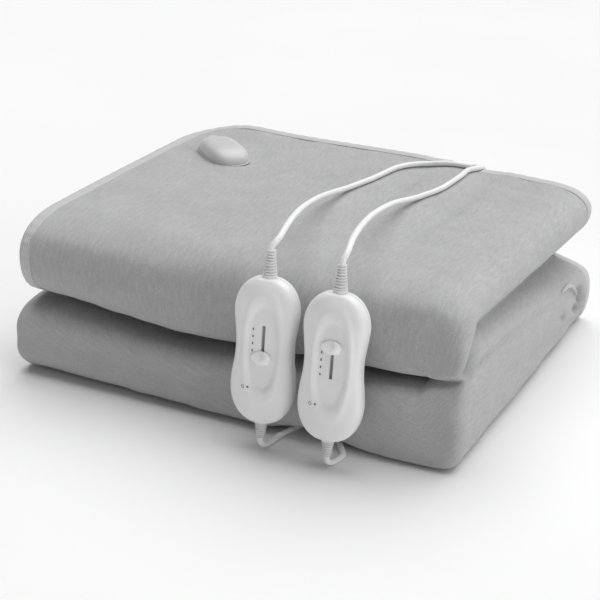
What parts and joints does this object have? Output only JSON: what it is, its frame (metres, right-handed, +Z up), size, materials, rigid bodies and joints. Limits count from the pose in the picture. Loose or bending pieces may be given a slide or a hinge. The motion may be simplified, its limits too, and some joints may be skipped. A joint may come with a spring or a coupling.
{
  "type": "electric heated blanket",
  "caption": "Folded fleece electric underblanket with bound edges, a moulded connector on top and slider heat controllers hanging in front on their leads.",
  "frame": {"origin": "middle of the base of the folded stack with its controllers, on the surface it stands on; the free leads are left out", "axes": "+X along the folded stack from its bound end to its last fold, +Y from the front folds and controllers to the bound back edge, +Z up"},
  "size_m": [0.4254, 0.5061, 0.1837],
  "materials": {
    "fleece": "light grey brushed polyester fleece with a short matted pile",
    "tape": "paler grey knitted binding tape",
    "casing": "satin to gloss light grey moulded ABS",
    "knob": "glossy near-white moulded ABS",
    "boot": "soft grey PVC, satin",
    "lead": "smooth light grey PVC sheath",
    "pin": "nickel-plated brass"
  },
  "bodies": {
    "stack": {"blanket": "fleece", "binding": "tape", "connector_base": "casing", "connector_cover": "casing", "controller_left_cover": "casing", "controller_left_back": "casing", "controller_left_top_boot": "boot", "controller_left_bottom_boot": "boot", "controller_right_cover": "casing", "controller_right_back": "casing", "controller_right_top_boot": "boot", "controller_right_bottom_boot": "boot", "blanket_lead_left": "lead", "blanket_lead_right": "lead", "lead_entry": "boot", "lead_entry_relief_left": "boot", "lead_entry_relief_right": "boot", "mains_lead_left": "lead", "mains_coil_left": "lead", "mains_tail_left": "lead", "plug_left": "lead", "plug_left_pin_1": "pin", "plug_left_pin_2": "pin", "mains_lead_right": "lead", "mains_coil_right": "lead", "mains_tail_right": "lead", "plug_right": "lead", "plug_right_pin_1": "pin", "plug_right_pin_2": "pin"},
    "knob_left": {"controller_left_knob": "knob"},
    "knob_right": {"controller_right_knob": "knob"}
  },
  "joints": [
    {"name": "left_heat_slider", "type": "slide", "parent": "stack", "child": "knob_left", "axis": [0.014, 0.1153, 0.9932], "range_m": [0, 0.0236]},
    {"name": "right_heat_slider", "type": "slide", "parent": "stack", "child": "knob_right", "axis": [0.0174, 0.1234, 0.9922], "range_m": [-0.0227, 0]}
  ]
}
